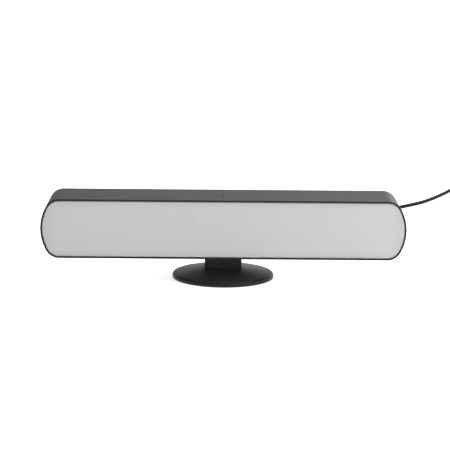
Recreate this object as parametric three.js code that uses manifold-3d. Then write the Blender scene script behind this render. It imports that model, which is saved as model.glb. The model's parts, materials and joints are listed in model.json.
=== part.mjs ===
// A table light bar: a pill-shaped tilting bar with an opal front, on a neck and a round weighted base, and
// its USB lead.
// Millimetres, +Z up. The origin is on the table under the middle of the base, and the light faces -Y.
import * as THREE from "three";
import { mergeVertices } from "three/addons/utils/BufferGeometryUtils.js";
import Module from "manifold-3d";

const wasm = await Module();
wasm.setup();

// ---- Driving dimensions ----
const GAP = 0.3; // between pieces that rest on each other
const BAR = { length: 300, height: 49, depth: 54.4, bottom: 20.8, endRadius: 37.3, cornerRadius: 12 };
const WALL = 2.1; // housing side walls
const REAR_WALL = 2;
const EDGE = 0.4; // rounding of the housing's front and rear edges
const LIP = 1.15; // wall round the diffuser's plate, ahead of the thicker side walls
const DIFFUSER = { fit: 0.3, recess: 0.3, plate: 2.2, skirt: 4.5, skirtWall: 1.6, edge: 0.5 };
const TRAY = { fit: 0.5, wall: 1.2, floor: 1.5, depth: 8.7 };
const LED = { count: 9, pitch: 30, size: 5, height: 1.6 };
const LED_BOARD = { length: 276, height: 12, thickness: 1 };
const POST = { x: 92, rise: 15, radius: 3.5, hole: 1.4, holeDepth: 9 };
const BOARD = { x: -56, width: 60, height: 30, thickness: 1.6, back: 18.6 };
const PIVOT_Z = 31;
const PIN = { radius: 2, bore: 2.1, headRadius: 3.8, headLength: 2.2, nut: 4.1, nutLength: 3.2 };
const BARREL = { radius: 5, halfWidth: 11 };
const TONGUE_HALF = 4.5; // half thickness of the neck's tongue
const SLOT = { halfWidth: 12, halfDepth: 7.8 };
const WASHER = 0.8;
const BRACKET = { ear: 4, foot: 2, halfLength: 31, halfDepth: 9, earHalfDepth: 6, bridge: 37.2, top: 39.2 };
const PAD = { halfLength: 32, halfDepth: 9.7, thickness: 1.4 }; // thick floor under the hinge bracket
const NECK = { width: 30.7, depth: 21, bottom: 7.9, corner: 3, crown: 19.2, crownRadius: 45 };
const BASE = { radius: 42.2, edge: 4.2, rise: 6.3, power: 1.2, shell: 1.9, wall: 1.6, floor: 6.2 };
const RIM = { top: 2.5, slope: 3.9, slopeInset: 0.6, roof: 1.65, bottom: 0.8, underside: 0.4 };
const FOOT = { radius: 39.2, thickness: 0.8 };
const BASE_PLATE = { radius: 40, thickness: 1.2 };
const BALLAST = { bottom: 2.6, top: 5.9, flatRadius: 18.5, radius: 33, edgeTop: 3.3 };
const NECK_SCREW_X = 8;
const BASE_SCREW_RADIUS = 27;
const BOOT = { x: 138, z: 36, flange: 4.5, root: 3.6, tip: 2.6, length: 14.5, neck: 3.2, bore: 3.5 };
const CORD = 3.5; // diameter of the lead
const WIRE = 2.6; // lead without its outer jacket, inside the bar
const COIL = { x: 281, y: 435, across: 3, meanRadius: 19.25, bottom: 0.9 };
const TIE = { width: 6, thickness: 0.6, angle: -108, sideGap: 0.7, gap: 0.25 };
const PLUG = { x: 304, back: 402.4, width: 16, height: 8, body: 24, corner: 2, relief: 8 };
const SHELL = { width: 12, height: 4.5, length: 12, wall: 0.35 };

// ---- Places worked out from them ----
const BAR_Z = BAR.bottom + BAR.height / 2;
const FRONT = -BAR.depth / 2;
const REAR = BAR.depth / 2;
const REAR_INSIDE = REAR - REAR_WALL;
const INSIDE_FLOOR = BAR.bottom + WALL;
const DIFFUSER_FRONT = FRONT + DIFFUSER.recess;
const PLATE_BACK = DIFFUSER_FRONT + DIFFUSER.plate;
const DIFFUSER_BACK = PLATE_BACK + DIFFUSER.skirt;
const TRAY_FRONT = DIFFUSER_BACK + GAP;
const TRAY_BACK = TRAY_FRONT + TRAY.depth;
const TRAY_FLOOR = TRAY_BACK - TRAY.floor;
const LED_BOARD_FRONT = TRAY_FLOOR - GAP - LED_BOARD.thickness;
const BOARD_FRONT = BOARD.back - BOARD.thickness;
const PAD_TOP = INSIDE_FLOOR + PAD.thickness;
const BRACKET_BOTTOM = PAD_TOP + GAP;
const EAR_INSIDE = BARREL.halfWidth + WASHER + 0.5;
const EAR_OUTSIDE = EAR_INSIDE + BRACKET.ear;
const COIL_HALF = (COIL.across * CORD) / 2;

// The lead's route from the boot to the coil, where it leaves the view of the bar's front.
const LEAD_ROUTE = [
  [138, 42, 36],
  [138, 49, 35.8],
  [138, 57.5, 34.6],
  [138, 65, 30.6],
  [138.2, 71.5, 24.3],
  [138.5, 77, 17],
  [139, 83, 10.2],
  [139.8, 91, 5],
  [141, 101, 2.4],
  [141.8, 113, 1.8],
  [141.5, 138, 1.8],
  [140, 165, 1.8],
  [138.8, 192, 1.8],
  [139.5, 221, 1.8],
  [143.6, 250, 1.8],
  [151.8, 277, 1.8],
  [163, 299.5, 1.8],
  [175, 316.5, 1.8],
  [186.5, 329.6, 1.8],
  [197.3, 341.4, 1.8],
  [208.2, 355.3, 1.8],
  [218, 371.4, 1.8],
  [228, 390.2, 1.8],
  [237.5, 409.3, 1.8],
  [245.3, 426.6, 1.8],
  [252.5, 440.6, 1.9],
  [257.5, 448.2, 2.2],
];
// The lead's free end, from the coil down to the plug.
const TAIL_ROUTE = [
  [303.9, 421, 7.8],
  [304, 415.5, 6],
  [304, 409, 4.6],
  [304, 402.8, 4.1],
];
const SUPPLY_ROUTE = [
  [-43.7, 13.2, 34.4],
  [-30, 12.9, 35],
  [0, 13, 36.5],
  [50, 13.2, 36.8],
  [100, 13.6, 36.8],
  [122, 14.2, 36.8],
  [133, 15, 36.4],
  [137.4, 17.6, 36],
  [138, 21.8, 36],
];

// ---- Shape helpers ----
function arc(x, y, radius, from, to, steps) {
  const points = [];
  for (let i = 0; i <= steps; i++) {
    const angle = from + ((to - from) * i) / steps;
    points.push(new THREE.Vector2(x + radius * Math.cos(angle), y + radius * Math.sin(angle)));
  }
  return points;
}

function shapeOf(points) {
  const apart = points.filter((p, i) => p.distanceTo(points[(i + 1) % points.length]) > 0.01);
  return new THREE.Shape(apart);
}

// The bar's outline seen from the front, drawn in by inset: flat top and bottom, round corners, curved ends.
function barOutline(inset) {
  const endX = BAR.length / 2 - BAR.endRadius;
  const cornerZ = BAR.height / 2 - BAR.cornerRadius;
  const cornerX = endX + Math.sqrt((BAR.endRadius - BAR.cornerRadius) ** 2 - cornerZ ** 2);
  const meet = Math.atan2(cornerZ, cornerX - endX);
  const corner = BAR.cornerRadius - inset;
  const end = BAR.endRadius - inset;
  const right = [
    ...arc(cornerX, -cornerZ, corner, -Math.PI / 2, -meet, 5),
    ...arc(endX, 0, end, -meet, meet, 8).slice(1, -1),
    ...arc(cornerX, cornerZ, corner, meet, Math.PI / 2, 5),
  ];
  const left = right.map((p) => new THREE.Vector2(-p.x, -p.y));
  return shapeOf([...right, ...left]);
}

function roundedBox(width, height, corner, steps = 3) {
  const x = width / 2 - corner;
  const y = height / 2 - corner;
  const quarter = Math.PI / 2;
  return shapeOf([
    ...arc(x, y, corner, 0, quarter, steps),
    ...arc(-x, y, corner, quarter, 2 * quarter, steps),
    ...arc(-x, -y, corner, 2 * quarter, 3 * quarter, steps),
    ...arc(x, -y, corner, 3 * quarter, 4 * quarter, steps),
  ]);
}

// An outline in x and z, extruded from y = front to y = back, its two edges rounded by edge.
function slab(shape, front, back, edge = 0) {
  const geometry = new THREE.ExtrudeGeometry(shape, {
    depth: back - front - 2 * edge,
    bevelEnabled: edge > 0,
    bevelThickness: edge,
    bevelSize: edge,
    bevelOffset: -edge,
    bevelSegments: 2,
  });
  return geometry.rotateX(Math.PI / 2).translate(0, back - edge, 0);
}

// An outline in x and y, extruded from z = bottom to z = top.
function tower(shape, bottom, top) {
  const geometry = new THREE.ExtrudeGeometry(shape, { depth: top - bottom, bevelEnabled: false });
  return geometry.translate(0, 0, bottom);
}

function box(low, high) {
  const size = high.map((value, i) => value - low[i]);
  const middle = high.map((value, i) => (value + low[i]) / 2);
  return new THREE.BoxGeometry(...size).translate(...middle);
}

// A body turned about +Z: profile lists [radius, height] from the top of the axis down to its bottom.
function turned(profile, segments = 40) {
  const points = profile.map(([radius, height]) => new THREE.Vector2(radius, height)).reverse();
  return new THREE.LatheGeometry(points, segments).rotateX(Math.PI / 2);
}

// Moves a body drawn about +Z so that it lies about the line through at along direction.
function aim(geometry, at, direction) {
  const turn = new THREE.Quaternion().setFromUnitVectors(
    new THREE.Vector3(0, 0, 1),
    new THREE.Vector3(...direction),
  );
  return geometry.applyQuaternion(turn).translate(...at);
}

function rod(radius, length, at, direction, segments = 24) {
  const profile = [
    [0, length],
    [radius, length],
    [radius, 0],
    [0, 0],
  ];
  return aim(turned(profile, segments), at, direction);
}

// A screw whose head's bearing face is at the given place and whose head points along direction.
function screw(head, headHeight, shank, length, at, direction) {
  const socket = 0.42 * head;
  const floor = 0.5 * headHeight;
  const profile = [
    [0, floor],
    [socket, floor],
    [socket, headHeight],
    [head, headHeight],
    [head, 0],
    [shank, 0],
    [shank, -length],
    [0, -length],
  ];
  return aim(turned(profile, 9), at, direction);
}

function tube(route, diameter, steps) {
  const path = new THREE.CatmullRomCurve3(route.map((point) => new THREE.Vector3(...point)));
  const section = shapeOf(arc(0, 0, diameter / 2, Math.PI / 8, Math.PI * 2.125, 8));
  return new THREE.ExtrudeGeometry(section, { steps, bevelEnabled: false, extrudePath: path });
}

// ---- Joining and cutting ----
function solidOf(geometry) {
  const bare = new THREE.BufferGeometry();
  bare.setAttribute("position", geometry.getAttribute("position"));
  if (geometry.index) bare.setIndex(geometry.index);
  const merged = mergeVertices(bare, 1e-3);
  return new wasm.Manifold(
    new wasm.Mesh({
      numProp: 3,
      vertProperties: merged.attributes.position.array,
      triVerts: new Uint32Array(merged.index.array),
    }),
  );
}

function geometryOf(solid) {
  const mesh = solid.getMesh();
  const geometry = new THREE.BufferGeometry();
  geometry.setAttribute("position", new THREE.BufferAttribute(mesh.vertProperties, 3));
  geometry.setIndex(new THREE.BufferAttribute(mesh.triVerts, 1));
  return geometry;
}

function joined(...geometries) {
  return geometryOf(geometries.map(solidOf).reduce((whole, next) => whole.add(next)));
}

function cut(geometry, ...tools) {
  return geometryOf(tools.map(solidOf).reduce((whole, tool) => whole.subtract(tool), solidOf(geometry)));
}

function common(first, second) {
  return geometryOf(solidOf(first).intersect(solidOf(second)));
}

// ---- Materials and the scene graph ----
const BLACK_ABS = { color: 0x1c1c1e, roughness: 0.5, metalness: 0 };
const BLACK_RUBBER = { color: 0x161616, roughness: 0.85, metalness: 0 };
const OPAL = { color: 0xcfcfcd, roughness: 0.45, metalness: 0 };
const WHITE_ABS = { color: 0xe8e8e6, roughness: 0.6, metalness: 0 };
const STEEL = { color: 0x9a9ca0, roughness: 0.35, metalness: 1 };
const CAST = { color: 0x55575a, roughness: 0.7, metalness: 1 };
const BOARD_GREEN = { color: 0x1f5a38, roughness: 0.5, metalness: 0 };
const BLACK_PVC = { color: 0x1a1a1b, roughness: 0.55, metalness: 0 };
const PTFE = { color: 0xd8d4c8, roughness: 0.5, metalness: 0 };

const bar = new THREE.Group();
const base = new THREE.Group();
const lead = new THREE.Group();

function add(group, name, geometry, finish) {
  const mesh = new THREE.Mesh(geometry, new THREE.MeshStandardMaterial(finish));
  mesh.name = name;
  group.add(mesh);
}

const TOWARDS_FRONT = [0, -1, 0];
const UP = [0, 0, 1];
const DOWN = [0, 0, -1];
const ALONG_X = [1, 0, 0];

// Corners of a rectangle about a middle, as [x, z] or [x, y] pairs.
function corners(x, y, halfX, halfY) {
  return [-1, 1].flatMap((i) => [-1, 1].map((j) => [x + i * halfX, y + j * halfY]));
}

const postPlaces = corners(0, BAR_Z, POST.x, POST.rise);
const boardScrewPlaces = [
  [BOARD.x - 26, BAR_Z + 11],
  [BOARD.x + 26, BAR_Z - 11],
];
const standoffPlaces = corners(BOARD.x, BAR_Z, 26, 11);
const clampPlaces = [29.8, 43.8].map((z) => [110, z]);
const bracketScrewPlaces = corners(0, 0, 24, 5.5);
const harnessHole = [-66, BAR_Z];

// ---- The bar ----
function outlineSlab(inset, front, back, edge) {
  return slab(barOutline(inset), front, back, edge).translate(0, 0, BAR_Z);
}

function housing() {
  const pad = box(
    [-PAD.halfLength, -PAD.halfDepth, INSIDE_FLOOR - 0.5],
    [PAD.halfLength, PAD.halfDepth, PAD_TOP],
  );
  const posts = postPlaces.map(([x, z]) =>
    rod(POST.radius, REAR_INSIDE + 0.5 - TRAY_BACK - GAP, [x, REAR_INSIDE + 0.5, z], TOWARDS_FRONT, 16),
  );
  const standoffs = standoffPlaces.map(([x, z]) =>
    rod(2.5, REAR_INSIDE + 0.5 - BOARD.back - GAP, [x, REAR_INSIDE + 0.5, z], TOWARDS_FRONT, 12),
  );
  const clampPosts = clampPlaces.map(([x, z]) =>
    rod(2.6, 13, [x, REAR_INSIDE + 0.5, z], TOWARDS_FRONT, 12),
  );
  const shell = cut(
    outlineSlab(0, FRONT, REAR, EDGE),
    outlineSlab(LIP, FRONT - 5, PLATE_BACK + GAP, 0),
    outlineSlab(WALL, FRONT - 5, REAR_INSIDE, 0),
  );
  const holes = [
    box([-SLOT.halfWidth, -SLOT.halfDepth, BAR.bottom - 1], [SLOT.halfWidth, SLOT.halfDepth, PAD_TOP + 1]),
    rod(BOOT.bore, 10, [BOOT.x, REAR + 3, BOOT.z], TOWARDS_FRONT),
    ...postPlaces.map(([x, z]) =>
      rod(POST.hole, POST.holeDepth + 1, [x, TRAY_BACK + POST.holeDepth, z], TOWARDS_FRONT, 10),
    ),
    ...standoffPlaces.map(([x, z]) => rod(1.2, 6.2, [x, REAR_INSIDE - 1, z], TOWARDS_FRONT, 10)),
    ...clampPlaces.map(([x, z]) => rod(1.2, 8, [x, 20, z], TOWARDS_FRONT, 10)),
    ...bracketScrewPlaces.map(([x, y]) => rod(1.5, 4, [x, y, INSIDE_FLOOR - 0.8], UP, 10)),
  ];
  return cut(joined(shell, pad, ...posts, ...standoffs, ...clampPosts), ...holes);
}

function diffuser() {
  const inset = WALL + DIFFUSER.fit;
  const skirt = cut(
    outlineSlab(inset, PLATE_BACK - 1, DIFFUSER_BACK, 0),
    outlineSlab(inset + DIFFUSER.skirtWall, PLATE_BACK, DIFFUSER_BACK + 1, 0),
  );
  return joined(outlineSlab(LIP + DIFFUSER.fit, DIFFUSER_FRONT, PLATE_BACK, DIFFUSER.edge), skirt);
}

const ledBoardScrews = [-105, 105].map((x) => [x, BAR_Z]);

function tray() {
  const inset = WALL + TRAY.fit;
  return cut(
    outlineSlab(inset, TRAY_FRONT, TRAY_BACK, 0),
    outlineSlab(inset + TRAY.wall, TRAY_FRONT - 1, TRAY_FLOOR, 0),
    ...postPlaces.map(([x, z]) => rod(1.5, 4, [x, TRAY_BACK + 1, z], TOWARDS_FRONT, 10)),
    ...ledBoardScrews.map(([x, z]) => rod(1.2, 4, [x, TRAY_BACK + 1, z], TOWARDS_FRONT, 10)),
    rod(2.2, 4, [harnessHole[0], TRAY_BACK + 1, harnessHole[1]], TOWARDS_FRONT, 12),
  );
}

function ledBoard() {
  const half = LED_BOARD.length / 2;
  const board = box(
    [-half, LED_BOARD_FRONT, BAR_Z - LED_BOARD.height / 2],
    [half, LED_BOARD_FRONT + LED_BOARD.thickness, BAR_Z + LED_BOARD.height / 2],
  );
  return cut(board, ...ledBoardScrews.map(([x, z]) => rod(1.2, 4, [x, TRAY_BACK, z], TOWARDS_FRONT, 10)));
}

function controlBoard() {
  const low = [BOARD.x - BOARD.width / 2, BOARD_FRONT, BAR_Z - BOARD.height / 2];
  const high = [BOARD.x + BOARD.width / 2, BOARD.back, BAR_Z + BOARD.height / 2];
  return cut(box(low, high), ...standoffPlaces.map(([x, z]) => rod(1.2, 6, [x, 21, z], TOWARDS_FRONT, 10)));
}

// A component standing on the front of the control board, given by its middle and its size.
function component(x, z, width, height, proud) {
  const back = BOARD_FRONT - GAP;
  return box([x - width / 2, back - proud, z - height / 2], [x + width / 2, back, z + height / 2]);
}

function cordClamp() {
  const plate = slab(roundedBox(7, 20, 2), 9.4, 12.3).translate(110, 0, 36.8);
  return cut(plate, ...clampPlaces.map(([x, z]) => rod(1.2, 8, [x, 15, z], TOWARDS_FRONT, 10)));
}

function boot() {
  const tip = REAR + BOOT.length;
  const profile = [
    [0, tip],
    [BOOT.tip, tip],
    [BOOT.root, REAR + GAP + 1.6],
    [BOOT.flange, REAR + GAP + 1.2],
    [BOOT.flange, REAR + GAP],
    [BOOT.neck, REAR + GAP],
    [BOOT.neck, REAR_INSIDE - GAP],
    [BOOT.flange, REAR_INSIDE - GAP],
    [BOOT.flange, REAR_INSIDE - GAP - 1.4],
    [0, REAR_INSIDE - GAP - 1.4],
  ];
  return aim(turned(profile, 20), [BOOT.x, 0, BOOT.z], [0, 1, 0]);
}

function hingeBracket() {
  const { halfLength, halfDepth, earHalfDepth, foot, bridge, top } = BRACKET;
  const parts = [-1, 1].flatMap((side) => {
    const inside = side * EAR_INSIDE;
    const outside = side * EAR_OUTSIDE;
    const end = side * halfLength;
    return [
      box(
        [Math.min(inside, outside), -earHalfDepth, BRACKET_BOTTOM],
        [Math.max(inside, outside), earHalfDepth, top],
      ),
      box(
        [Math.min(inside, end), -halfDepth, BRACKET_BOTTOM],
        [Math.max(inside, end), halfDepth, BRACKET_BOTTOM + foot],
      ),
    ];
  });
  const across = box([-EAR_OUTSIDE, -earHalfDepth, bridge], [EAR_OUTSIDE, earHalfDepth, top]);
  return cut(
    joined(...parts, across),
    rod(PIN.bore, 60, [-30, 0, PIVOT_Z], ALONG_X),
    ...bracketScrewPlaces.map(([x, y]) => rod(1.5, 6, [x, y, BRACKET_BOTTOM - 1], UP, 10)),
  );
}

function ring(outer, inner, thickness, at, direction, segments = 24) {
  const profile = [
    [inner, 0],
    [inner, thickness],
    [outer, thickness],
    [outer, 0],
    [inner, 0],
  ];
  return aim(turned(profile, segments), at, direction);
}

function hingePin() {
  const profile = [
    [0, EAR_OUTSIDE + 4],
    [PIN.radius, EAR_OUTSIDE + 4],
    [PIN.radius, -EAR_OUTSIDE - GAP],
    [PIN.headRadius, -EAR_OUTSIDE - GAP],
    [PIN.headRadius, -EAR_OUTSIDE - GAP - PIN.headLength],
    [0, -EAR_OUTSIDE - GAP - PIN.headLength],
  ];
  return aim(turned(profile, 24), [0, 0, PIVOT_Z], ALONG_X);
}

add(bar, "bar_housing", housing(), BLACK_ABS);
add(bar, "diffuser", diffuser(), OPAL);
add(bar, "reflector_tray", tray(), WHITE_ABS);
add(bar, "led_board", ledBoard(), WHITE_ABS);
for (let i = 0; i < LED.count; i++) {
  const x = (i - (LED.count - 1) / 2) * LED.pitch;
  const back = LED_BOARD_FRONT - GAP;
  const half = LED.size / 2;
  const low = [x - half, back - LED.height, BAR_Z - half];
  add(bar, `led_${i + 1}`, box(low, [x + half, back, BAR_Z + half]), OPAL);
}
postPlaces.forEach(([x, z], i) => {
  const at = [x, TRAY_FLOOR - GAP, z];
  add(bar, `tray_screw_${i + 1}`, screw(2.6, 1.6, 1.1, 9, at, TOWARDS_FRONT), STEEL);
});
ledBoardScrews.forEach(([x, z], i) => {
  const at = [x, LED_BOARD_FRONT - GAP, z];
  add(bar, `led_board_screw_${i + 1}`, screw(2, 1.1, 0.9, 4.2, at, TOWARDS_FRONT), STEEL);
});
add(bar, "control_board", controlBoard(), BOARD_GREEN);
boardScrewPlaces.forEach(([x, z], i) => {
  const at = [x, BOARD_FRONT - GAP, z];
  add(bar, `control_board_screw_${i + 1}`, screw(2.2, 1.4, 0.9, 5, at, TOWARDS_FRONT), STEEL);
});
add(bar, "wireless_module", component(-66, 48.8, 18, 18, 2.8), STEEL);
add(bar, "capacitor", rod(4, 9, [-40, BOARD_FRONT - GAP, 52.5], TOWARDS_FRONT, 16), BLACK_PVC);
add(bar, "inductor", component(-42, 42, 8, 7, 4), CAST);
add(bar, "supply_connector", component(-48, 34.4, 8, 5.6, 5.5), WHITE_ABS);
add(bar, "led_connector", component(-66, 34.4, 8, 5.6, 5.5), WHITE_ABS);
const harnessRoute = [
  [harnessHole[0], BOARD_FRONT - 2 * GAP - 5.5, 34.4],
  [harnessHole[0], 4, 35],
  [harnessHole[0], -3, BAR_Z - 1.5],
  [harnessHole[0], TRAY_FLOOR, harnessHole[1]],
];
add(bar, "led_harness", tube(harnessRoute, 2.2, 10), BLACK_PVC);
add(bar, "supply_wire", tube(SUPPLY_ROUTE, WIRE, 24), BLACK_PVC);
add(bar, "cord_clamp", cordClamp(), BLACK_ABS);
clampPlaces.forEach(([x, z], i) => {
  add(bar, `clamp_screw_${i + 1}`, screw(2.2, 1.4, 0.9, 8, [x, 9.1, z], TOWARDS_FRONT), STEEL);
});
add(bar, "cord_boot", boot(), BLACK_RUBBER);
add(bar, "hinge_bracket", hingeBracket(), STEEL);
bracketScrewPlaces.forEach(([x, y], i) => {
  const at = [x, y, BRACKET_BOTTOM + BRACKET.foot + GAP];
  add(bar, `bracket_screw_${i + 1}`, screw(2.6, 1.6, 1.2, 4.4, at, UP), STEEL);
});
add(bar, "hinge_pin", hingePin(), STEEL);
[-1, 1].forEach((side) => {
  const start = side > 0 ? BARREL.halfWidth + 0.25 : -BARREL.halfWidth - 0.25 - WASHER;
  const name = side > 0 ? "friction_washer_right" : "friction_washer_left";
  add(bar, name, ring(5.5, PIN.bore + 0.1, WASHER, [start, 0, PIVOT_Z], ALONG_X), PTFE);
});
const nutAt = [EAR_OUTSIDE + GAP, 0, PIVOT_Z];
const nutOutside = rod(PIN.nut, PIN.nutLength, nutAt, ALONG_X, 6);
add(bar, "hinge_nut", cut(nutOutside, rod(PIN.bore, 60, [-20, 0, PIVOT_Z], ALONG_X)), STEEL);

// ---- The base ----
function dome(radius) {
  return BASE.edge + BASE.rise * (1 - (radius / BASE.radius) ** BASE.power);
}

const neckScrewPlaces = [-NECK_SCREW_X, NECK_SCREW_X].map((x) => [x, 0]);
const baseScrewPlaces = arc(0, 0, BASE_SCREW_RADIUS, Math.PI / 2, Math.PI * 2.5, 3)
  .slice(0, 3)
  .map((p) => [p.x, p.y]);

function baseCover() {
  const outside = [0, 6, 12, 20, 27, 34, BASE.radius - RIM.roof].map((radius) => [radius, dome(radius)]);
  const inside = [37.2, 33, 27, 19].map((radius) => [radius, dome(radius) - BASE.shell]);
  const lip = BASE.radius - BASE.wall;
  const profile = [
    ...outside,
    [BASE.radius - RIM.slopeInset, RIM.slope],
    [BASE.radius, RIM.top],
    [BASE.radius, RIM.bottom],
    [BASE.radius - 0.4, RIM.underside],
    [lip, RIM.underside],
    [lip, 2.4],
    ...inside,
    [0, BASE.floor],
  ];
  const pocket = tower(
    roundedBox(NECK.width + 2 * GAP, NECK.depth + 2 * GAP, NECK.corner + GAP),
    NECK.bottom - GAP,
    20,
  );
  const holes = neckScrewPlaces.map(([x, y]) => rod(1.8, 10, [x, y, 3], UP, 12));
  return cut(turned(profile, 60), pocket, ...holes);
}

function ballast() {
  const profile = [
    [0, BALLAST.top],
    [BALLAST.flatRadius, BALLAST.top],
    [BALLAST.radius, BALLAST.edgeTop],
    [BALLAST.radius, BALLAST.bottom],
    [0, BALLAST.bottom],
  ];
  return cut(
    turned(profile),
    ...neckScrewPlaces.flatMap(([x, y]) => [
      rod(1.8, 10, [x, y, 0], UP, 12),
      rod(3.3, 2.9, [x, y, 1.6], UP, 12),
    ]),
    ...baseScrewPlaces.map(([x, y]) => rod(1.5, 8, [x, y, 0], UP, 12)),
  );
}

// The cone of a countersunk head, made larger all round by grow.
function countersunk(grow, length) {
  const head = 2.6 + grow;
  const shank = 1.2 + grow;
  const bottom = FOOT.thickness + GAP;
  const top = bottom + BASE_PLATE.thickness;
  return turned([[0, length], [shank, length], [shank, top], [head, bottom], [0, bottom]], 12);
}

function basePlate() {
  const bottom = FOOT.thickness + GAP;
  const plate = rod(BASE_PLATE.radius, BASE_PLATE.thickness, [0, 0, bottom], UP, 64);
  return cut(plate, ...baseScrewPlaces.map(([x, y]) => countersunk(GAP, 4).translate(x, y, 0)));
}

function neck() {
  const halfWidth = NECK.width / 2;
  const block = tower(roundedBox(NECK.width, NECK.depth, NECK.corner, 4), NECK.bottom, NECK.crown + 1);
  const crownAxis = [-halfWidth, 0, NECK.crown - NECK.crownRadius];
  const crown = rod(NECK.crownRadius, NECK.width, crownAxis, ALONG_X, 128);
  const tongue = box([-BARREL.halfWidth, -TONGUE_HALF, 15], [BARREL.halfWidth, TONGUE_HALF, PIVOT_Z]);
  const barrel = rod(BARREL.radius, 2 * BARREL.halfWidth, [-BARREL.halfWidth, 0, PIVOT_Z], ALONG_X, 32);
  return cut(
    joined(common(block, crown), tongue, barrel),
    rod(PIN.bore, 40, [-20, 0, PIVOT_Z], ALONG_X),
    ...neckScrewPlaces.map(([x, y]) => rod(1.7, 9, [x, y, NECK.bottom - 1], UP, 12)),
  );
}

add(base, "foot_pad", rod(FOOT.radius, FOOT.thickness, [0, 0, 0], UP, 64), BLACK_RUBBER);
add(base, "base_plate", basePlate(), BLACK_ABS);
baseScrewPlaces.forEach(([x, y], i) => {
  add(base, `base_screw_${i + 1}`, countersunk(0, 3.2).translate(x, y, 0), STEEL);
});
add(base, "ballast_plate", ballast(), CAST);
add(base, "base_cover", baseCover(), BLACK_ABS);
add(base, "neck", neck(), BLACK_ABS);
neckScrewPlaces.forEach(([x, y], i) => {
  add(base, `neck_screw_${i + 1}`, screw(3, 1.6, 1.5, 10.5, [x, y, 4.3], DOWN), STEEL);
});

// ---- The USB lead ----
function coilRing() {
  const top = COIL.bottom + 2 * COIL_HALF;
  const inner = COIL.meanRadius - COIL_HALF;
  const outer = COIL.meanRadius + COIL_HALF;
  const corner = 1.2;
  const profile = [
    [inner, COIL.bottom],
    [inner, top],
    [outer - corner, top],
    [outer, top - corner],
    [outer, COIL.bottom + corner],
    [outer - corner, COIL.bottom],
    [inner, COIL.bottom],
  ];
  return turned(profile, 44).translate(COIL.x, COIL.y, 0);
}

// A strap round the coil's bundle of turns, on the side away from the lead.
function coilTie() {
  const halfWidth = COIL_HALF + TIE.sideGap;
  const halfHeight = COIL_HALF + TIE.gap;
  const inside = roundedBox(2 * halfWidth, 2 * halfHeight, 0.5, 1);
  const outside = roundedBox(2 * (halfWidth + TIE.thickness), 2 * (halfHeight + TIE.thickness), 1.1, 2);
  const strap = cut(
    slab(outside, -TIE.width / 2, TIE.width / 2),
    slab(inside, -TIE.width, TIE.width),
  );
  strap.translate(COIL.meanRadius, 0, COIL.bottom + COIL_HALF).rotateZ((TIE.angle * Math.PI) / 180);
  return strap.translate(COIL.x, COIL.y, 0);
}

// Bodies of the plug lie along -Y from its back end.
function plugSlab(shape, from, length, edge = 0) {
  const front = PLUG.back - from - length;
  return slab(shape, front, PLUG.back - from, edge).translate(PLUG.x, 0, PLUG.height / 2 + 0.05);
}

function plugBody() {
  const relief = [
    [0, 0],
    [2.5, 0],
    [3.4, -PLUG.relief - 0.5],
    [0, -PLUG.relief - 0.5],
  ];
  const height = PLUG.height / 2 + 0.05;
  return joined(
    plugSlab(roundedBox(PLUG.width, PLUG.height, PLUG.corner), PLUG.relief, PLUG.body, 0.8),
    aim(turned(relief, 16), [PLUG.x, PLUG.back, height], [0, 1, 0]),
  );
}

function plugShell() {
  const start = PLUG.relief + PLUG.body + GAP;
  const { width, height, wall, length } = SHELL;
  return cut(
    plugSlab(roundedBox(width, height, 0.6, 2), start, length),
    plugSlab(roundedBox(width - 2 * wall, height - 2 * wall, 0.3, 1), start + 0.6, length),
  );
}

function plugTongue() {
  const start = PLUG.relief + PLUG.body + 2 * GAP + 0.6;
  const tongue = plugSlab(roundedBox(SHELL.width - 1.4, 1.3, 0.2, 1), start, SHELL.length - 2);
  return tongue.translate(0, 0, SHELL.height / 2 - SHELL.wall - 0.85);
}

add(lead, "cord_lead", tube(LEAD_ROUTE, CORD, 58), BLACK_PVC);
add(lead, "cord_coil", coilRing(), BLACK_PVC);
add(lead, "cord_tie", coilTie(), BLACK_RUBBER);
add(lead, "cord_tail", tube(TAIL_ROUTE, CORD, 5), BLACK_PVC);
add(lead, "usb_plug_body", plugBody(), BLACK_PVC);
add(lead, "usb_plug_shell", plugShell(), STEEL);
add(lead, "usb_plug_tongue", plugTongue(), WHITE_ABS);

const lightBar = new THREE.Group();
lightBar.add(base, bar, lead);

export default lightBar;
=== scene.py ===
"""Looks of the table light bar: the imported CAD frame, the fine surfaces that stand for its visible parts, the
camera and the light. Metres, +Z up, the lit face towards -Y."""

import json
import math

import bmesh
import bpy
import numpy as np
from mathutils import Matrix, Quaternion, Vector


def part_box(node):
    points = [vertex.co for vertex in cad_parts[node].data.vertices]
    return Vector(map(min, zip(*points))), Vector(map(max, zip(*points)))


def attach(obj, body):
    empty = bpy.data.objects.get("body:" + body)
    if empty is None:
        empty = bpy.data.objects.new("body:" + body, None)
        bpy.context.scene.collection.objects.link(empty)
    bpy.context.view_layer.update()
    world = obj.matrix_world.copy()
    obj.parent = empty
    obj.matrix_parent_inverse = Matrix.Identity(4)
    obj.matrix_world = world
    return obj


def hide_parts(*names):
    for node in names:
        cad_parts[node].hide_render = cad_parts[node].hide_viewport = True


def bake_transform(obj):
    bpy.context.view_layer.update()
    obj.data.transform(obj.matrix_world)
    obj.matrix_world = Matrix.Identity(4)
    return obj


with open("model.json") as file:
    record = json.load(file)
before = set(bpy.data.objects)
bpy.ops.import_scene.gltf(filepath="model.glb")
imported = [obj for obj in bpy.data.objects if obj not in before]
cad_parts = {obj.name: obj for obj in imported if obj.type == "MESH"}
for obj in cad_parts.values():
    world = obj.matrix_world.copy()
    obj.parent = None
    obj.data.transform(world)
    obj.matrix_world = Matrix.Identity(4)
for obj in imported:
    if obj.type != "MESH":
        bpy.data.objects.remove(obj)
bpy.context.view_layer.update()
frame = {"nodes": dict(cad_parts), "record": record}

MM = 0.001
FIT = 0.3 * MM  # play between two parts that fit into each other
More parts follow.
